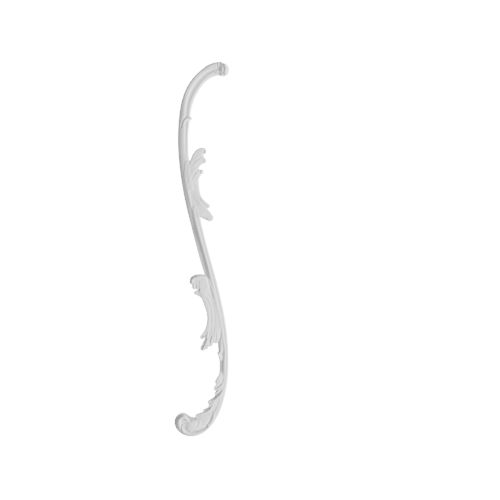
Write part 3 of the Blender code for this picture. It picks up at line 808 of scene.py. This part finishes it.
def plaster():
    """Matt white casting plaster: faintly mottled, fine pores, a little dust and painted shade
    darkening the hollows, and a rougher greyer back with the marks of the board that struck it off."""
    material = bpy.data.materials.new("cast_plaster")
    material.use_nodes = True
    nodes = material.node_tree.nodes
    links = material.node_tree.links
    shader = nodes["Principled BSDF"]

    def add(kind, **values):
        node = nodes.new(kind)
        for name, value in values.items():
            setattr(node, name, value)
        return node

    def noise(scale, detail, stretch=EVEN_STRETCH):
        place = add("ShaderNodeMapping")
        place.inputs["Scale"].default_value = stretch
        links.new(where.outputs["Object"], place.inputs["Vector"])
        node = add("ShaderNodeTexNoise")
        node.inputs["Scale"].default_value = scale
        node.inputs["Detail"].default_value = detail
        links.new(place.outputs["Vector"], node.inputs["Vector"])
        return node.outputs["Fac"]

    def spread(value, low, high, to_low, to_high):
        node = add("ShaderNodeMapRange")
        node.inputs["From Min"].default_value = low
        node.inputs["From Max"].default_value = high
        node.inputs["To Min"].default_value = to_low
        node.inputs["To Max"].default_value = to_high
        links.new(value, node.inputs["Value"])
        return node.outputs["Result"]

    def blend(first, second, share):
        node = add("ShaderNodeMix", data_type="RGBA")
        for number, value in ((MIX_SHARE, share), (MIX_FIRST, first), (MIX_SECOND, second)):
            if isinstance(value, (tuple, float)):
                node.inputs[number].default_value = value
            else:
                links.new(value, node.inputs[number])
        return node.outputs[MIX_RESULT]

    def kept(name):
        return add("ShaderNodeAttribute", attribute_name=name).outputs["Fac"]

    where = add("ShaderNodeTexCoord")
    broad = spread(noise(*BROAD_NOISE), *BROAD_SPREAD)
    mottle = spread(noise(*MOTTLE_NOISE), *MOTTLE_SPREAD)
    body = blend(WHITE, WARM_WHITE, broad)
    body = blend(body, SHADED_WHITE, spread(mottle, *SHADED_SPREAD))
    # Dust and painted shade: the deeper a place lies below its surroundings, the more of the darker
    # grey it gets
    body = blend(body, DUST_AND_SHADE, spread(kept("hollow"), *DUST_AND_SHADE_SPREAD))
    back = kept("backing")
    body = blend(body, BACK_GREY, spread(back, *BACK_SPREAD))
    links.new(body, shader.inputs["Base Color"])
    links.new(spread(mottle, *ROUGH_SPREAD), shader.inputs["Roughness"])
    shader.inputs["Specular IOR Level"].default_value = SPECULAR

    grain = noise(*GRAIN_NOISE)
    pits = add("ShaderNodeTexVoronoi")
    pits.inputs["Scale"].default_value = PORE_SCALE
    links.new(where.outputs["Object"], pits.inputs["Vector"])
    pores = spread(pits.outputs["Distance"], *PORE_SPREAD)
    board = noise(*BOARD_NOISE, BOARD_STRETCH)
    surface = blend(grain, pores, PORE_SHARE)
    surface = blend(surface, board, back)
    bump = add("ShaderNodeBump")
    bump.inputs["Strength"].default_value = BUMP_STRENGTH
    bump.inputs["Distance"].default_value = BUMP_HEIGHT
    links.new(surface, bump.inputs["Height"])
    links.new(bump.outputs["Normal"], shader.inputs["Normal"])
    return material


def make_camera():
    """A long lens square in front, framed as the photograph is."""
    distance = LENS * FRAME_BREADTH / SENSOR
    data = bpy.data.cameras.new("camera")
    data.lens = LENS
    data.sensor_width = SENSOR
    camera = bpy.data.objects.new("camera", data)
    bpy.context.scene.collection.objects.link(camera)
    camera.location = (FRAME_MIDDLE_X, -distance, FRAME_MIDDLE_Z)
    camera.rotation_euler = (np.pi / 2, 0, 0)
    bpy.context.scene.camera = camera


def make_light(name, direction, distance, size, power):
    """A square soft light at a distance along a direction, turned to the origin."""
    data = bpy.data.lights.new(name, "AREA")
    data.size = size
    data.energy = power
    light = bpy.data.objects.new(name, data)
    bpy.context.scene.collection.objects.link(light)
    toward = np.array(direction, float)
    toward /= np.linalg.norm(toward)
    light.location = toward * distance
    rise = np.arctan2(toward[2], np.hypot(toward[0], toward[1]))
    turn = np.arctan2(toward[1], toward[0])
    light.rotation_euler = (np.pi / 2 - rise, 0, turn + np.pi / 2)


def make_world():
    """An even white surround. What the camera sees of it is white; the light it gives is weaker."""
    world = bpy.data.worlds.new("world")
    bpy.context.scene.world = world
    world.use_nodes = True
    nodes = world.node_tree.nodes
    links = world.node_tree.links
    seen = nodes["Background"]
    seen.inputs["Color"].default_value = SURROUND
    seen.inputs["Strength"].default_value = SEEN_STRENGTH
    lit = nodes.new("ShaderNodeBackground")
    lit.inputs["Color"].default_value = SURROUND
    lit.inputs["Strength"].default_value = LIT_STRENGTH
    path = nodes.new("ShaderNodeLightPath")
    mix = nodes.new("ShaderNodeMixShader")
    links.new(path.outputs["Is Camera Ray"], mix.inputs[0])
    links.new(lit.outputs[0], mix.inputs[1])
    links.new(seen.outputs[0], mix.inputs[2])
    links.new(mix.outputs[0], nodes["World Output"].inputs["Surface"])


def make_floor():
    """The studio's plain pale floor, well below the onlay, which hangs."""
    near, far = FLOOR_REACH
    points = [(-FLOOR_HALF, near, FLOOR_LEVEL), (FLOOR_HALF, near, FLOOR_LEVEL),
              (FLOOR_HALF, far, FLOOR_LEVEL), (-FLOOR_HALF, far, FLOOR_LEVEL)]
    mesh = bpy.data.meshes.new("studio_floor")
    mesh.from_pydata(points, [], [(0, 1, 2, 3)])
    floor = bpy.data.objects.new("studio_floor", mesh)
    bpy.context.scene.collection.objects.link(floor)
    material = bpy.data.materials.new("pale_floor")
    material.use_nodes = True
    shader = material.node_tree.nodes["Principled BSDF"]
    shader.inputs["Base Color"].default_value = FLOOR_COLOUR
    shader.inputs["Roughness"].default_value = FLOOR_ROUGHNESS
    mesh.materials.append(material)


make_casting()
make_floor()
make_camera()
make_world()
make_light("key", KEY_FROM, KEY_DISTANCE, KEY_SIZE, KEY_POWER)
